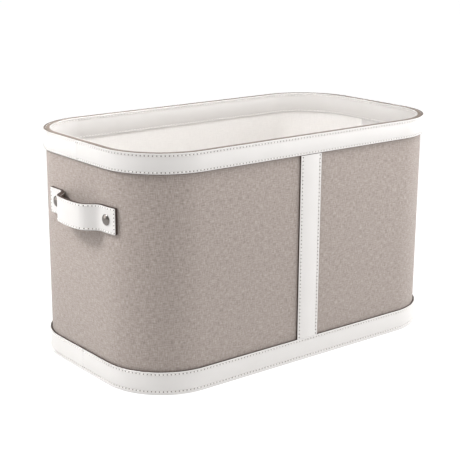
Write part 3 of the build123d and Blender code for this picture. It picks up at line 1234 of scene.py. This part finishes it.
round_edges(cover, floor_round, is_rim, 2)
flat_map(cover, lambda point: (point.x, point.y))
shape_with(cover, "SOLIDIFY", thickness=floor_cloth, offset=-1)
cover.data.materials.append(lining)
place_on_bin(cover, "lining", "floor_cover")

# %% [markdown]
# Felt is pressed wool fibre with no weave: a grey, matt mat whose fibres show as fine mottling.

# %% Felt underside
felt = mottled(
    "pressed_wool_felt", "#8D857E", "#B3ABA3", 1.5 * MM, 8.0, (0.85, 1.0), (0.6, 0.4 * MM),
    distortion=1.2, IOR=1.45, Sheen_Weight=0.3,
)
felt_round = 0.4 * MM

felt_low, felt_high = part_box("base_underside")
underside = rounded_plate("underside_felt", half_length - felt_high[0], felt_low[2], felt_high[2])
face_outwards()
round_edges(underside, felt_round, lambda m, d: abs(d.z) < 0.1 and m.z < felt_low[2] + TINY, 2)
underside.data.materials.append(felt)
place_on_bin(underside, "felt", "base_underside")

# %% [markdown]
# ## Board
# The wall, the base and the floor's core are plain grey board. Nothing of them shows from
# outside, so the CAD nodes stay, with a finish of their own: pulp with darker flecks.

# %% Grey board
board = mottled(
    "grey_pulp_board", "#9C958C", "#C4BDB3", 2 * MM, 8.0, (0.8, 0.95), (0.3, 0.1 * MM), IOR=1.45
)
for name in ("wall_core", "base_board", "floor_board"):
    for material_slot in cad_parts[name].material_slots:
        material_slot.material = board

# %% [markdown]
# ## Studio
# The bin stands on a pale sweep that is lit from within, as on a light table, so that its foot
# throws hardly any shadow. Large soft boxes stand at the left, the front right and the right end,
# and one hangs above, a little towards the front. Four small ones have grids: the key gives the
# left handle its shadow, two light the inside, and one hangs straight over the bin. The world is
# a plain pale dome that looks brighter than the light it gives.

# %% Floor and lights
SWEEP_SIZE = 40
SWEEP_DROP = 0.3 * MM
DOME_LIGHT = 0.56
DOME_SEEN = 1.05
WHITE = (1, 1, 1, 1)
SOFT_BOXES = (
    # name, place, what it is aimed at, size, watts, and the grid's spread in degrees or None
    ("left_soft_box", (-0.85, 0.6, 0.45), (-0.22, 0.03, 0.12), 0.6, 2.5, None),
    ("key_soft_box", (-0.72, 0.25, 0.72), (-0.23, 0.04, 0.14), 0.22, 0.31, 40),
    ("inner_soft_box", (0.25, -0.25, 1.1), (-0.17, 0.1, 0.22), 0.2, 0.13, 22),
    ("across_soft_box", (-0.55, -0.3, 0.9), (0.2, 0.03, 0.22), 0.25, 0.13, 24),
    ("right_soft_box", (0.85, -0.75, 0.4), (0.2, -0.1, 0.12), 0.7, 4.9, None),
    ("right_end_soft_box", (1.0, -0.15, 0.35), (0.2, -0.1, 0.12), 0.6, 3.8, None),
    ("front_soft_box", (-0.1, -0.55, 1.5), (0.0, 0.05, 0.2), 0.8, 8.0, None),
    ("gridded_soft_box", (0.0, 0.0, 1.25), (0.0, 0.0, 0.0), 0.4, 0.3, 40),
)

pick()
bpy.ops.mesh.primitive_plane_add(size=SWEEP_SIZE, location=(0, 0, -SWEEP_DROP))
sweep = bpy.context.object
sweep.name = "studio_sweep"
glow = new_material(
    "light_table",
    Roughness=0.9,
    Base_Color=colour("#8C8C8C"),
    Emission_Color=WHITE,
    Emission_Strength=0.84,
)
sweep.data.materials.append(glow)

for name, at, aim, size, watts, spread in SOFT_BOXES:
    pick()
    bpy.ops.object.light_add(type="AREA", location=at)
    light = bpy.context.object
    light.name = name
    light.data.shape = "SQUARE"
    light.data.size = size
    light.data.energy = watts
    light.rotation_mode = "QUATERNION"
    light.rotation_quaternion = (Vector(aim) - Vector(at)).to_track_quat("-Z", "Y")
    if spread:
        light.data.spread = radians(spread)

world = bpy.data.worlds.new("pale_dome")
world.use_nodes = True
seen = add_node(world, "LightPath", {}).outputs["Is Camera Ray"]
strength = add_node(world, "MapRange", {"Value": seen, "To Min": DOME_LIGHT, "To Max": DOME_SEEN})
background = world.node_tree.nodes["Background"]
background.inputs["Color"].default_value = WHITE
world.node_tree.links.new(strength.outputs["Result"], background.inputs["Strength"])
bpy.context.scene.world = world
bpy.context.scene.view_settings.view_transform = "Standard"

# %% [markdown]
# ## Clear the selection
# Nothing is left selected at the end.

# %% Clear the selection
pick()
